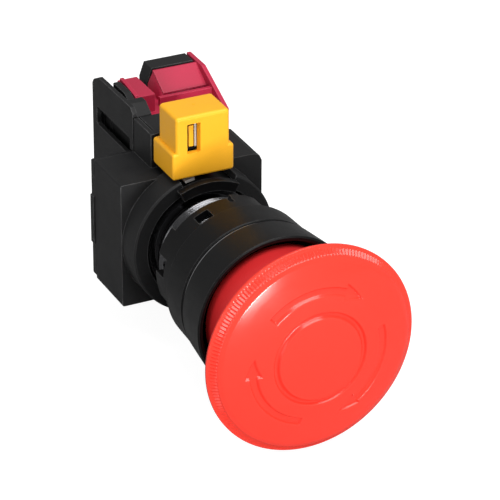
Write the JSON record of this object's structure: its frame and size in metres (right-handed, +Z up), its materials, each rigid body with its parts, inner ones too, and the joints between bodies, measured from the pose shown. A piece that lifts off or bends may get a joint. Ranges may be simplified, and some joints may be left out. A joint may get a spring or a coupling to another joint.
{
  "type": "emergency stop button",
  "caption": "Push-to-lock, turn-to-reset emergency stop with mushroom head, panel bezel, fixing nut, clip-on adaptor with safety lock, and a contact block.",
  "frame": {"origin": "on the button axis, in the plane of the panel's front face where the bezel and its gasket seat", "axes": "-Y points out of the panel towards the user, +Y into the enclosure along the button axis, +Z up (the locking lever side), +X to the user's right"},
  "size_m": [0.04, 0.0845, 0.047],
  "materials": {
    "head_red": "bright red moulded plastic, satin",
    "skirt_red": "deep red moulded plastic",
    "black_plastic": "black moulded plastic, satin",
    "black_textured": "black moulded plastic with a fine spark texture",
    "rubber": "black seal rubber",
    "thread_metal": "plated die-cast thread",
    "steel": "zinc-plated steel",
    "contact_metal": "bare contact brass",
    "white_plastic": "natural acetal",
    "lever_grey": "off-white moulded lever",
    "yellow": "yellow moulded plastic, satin",
    "magenta": "magenta moulded plastic, satin"
  },
  "bodies": {
    "base": {"bezel": "black_plastic", "panel_gasket": "rubber", "threaded_bushing": "thread_metal", "stem_seal": "rubber", "latch_sleeve": "white_plastic", "turn_spring": "steel", "return_spring": "steel", "adaptor_housing": "black_textured", "locking_ring": "black_plastic", "locking_lever": "lever_grey", "lever_tip": "yellow", "rear_plate": "black_textured", "plate_screw_top": "steel", "plate_screw_bottom": "steel", "side_frame": "black_textured", "contact_housing": "magenta", "contact_cover": "black_textured", "contact_spring": "steel", "fixed_contact_top": "contact_metal", "fixed_contact_bottom": "contact_metal", "clamp_washer_top": "steel", "clamp_washer_bottom": "steel", "terminal_screw_top": "steel", "terminal_screw_bottom": "steel"},
    "press_carriage": {"drive_disc": "white_plastic"},
    "button": {"mushroom_head": "head_red", "button_skirt": "skirt_red", "stem": "white_plastic", "stem_clip": "steel"},
    "latch_left": {"latch_pawl_left": "steel"},
    "latch_right": {"latch_pawl_right": "steel"},
    "contact_slider": {"contact_plunger": "white_plastic", "contact_bridge": "contact_metal"},
    "nut_washer": {"lock_washer": "steel"},
    "nut": {"locking_nut": "black_plastic"},
    "lever_lock": {"safety_lock": "yellow"}
  },
  "joints": [
    {"name": "press", "type": "slide", "parent": "base", "child": "press_carriage", "axis": [0, 1, 0], "range_m": [0, 0.004], "stiffness_N_per_m": 600, "springref_m": -0.004, "deforming": ["return_spring", "contact_spring"]},
    {"name": "reset_turn", "type": "hinge", "parent": "press_carriage", "child": "button", "pos_m": [0, 0, 0], "axis": [0, 1, 0], "range_deg": [0, 45], "stiffness_Nm_per_rad": 0.05},
    {"name": "latch_left_slide", "type": "slide", "parent": "base", "child": "latch_left", "axis": [1, 0, 0], "range_m": [0, 0.0008]},
    {"name": "latch_right_slide", "type": "slide", "parent": "base", "child": "latch_right", "axis": [-1, 0, 0], "range_m": [0, 0.0008]},
    {"name": "contact_travel", "type": "slide", "parent": "base", "child": "contact_slider", "axis": [0, 1, 0], "range_m": [0, 0.004]},
    {"name": "nut_travel", "type": "slide", "parent": "base", "child": "nut_washer", "axis": [0, 1, 0], "range_m": [0, 0.0042]},
    {"name": "nut_spin", "type": "hinge", "parent": "nut_washer", "child": "nut", "pos_m": [0, 0, 0], "axis": [0, 1, 0], "range_deg": [0, 1008]},
    {"name": "lock_lift", "type": "slide", "parent": "base", "child": "lever_lock", "axis": [0, 0, 1], "range_m": [0, 0.012]}
  ],
  "couplings": [
    {"joint": "latch_left_slide", "follows": "press", "ratio": 0.2},
    {"joint": "latch_right_slide", "follows": "press", "ratio": 0.2},
    {"joint": "contact_travel", "follows": "press", "ratio": 1},
    {"joint": "nut_spin", "follows": "nut_travel", "rad_per_m": 4188.8}
  ]
}
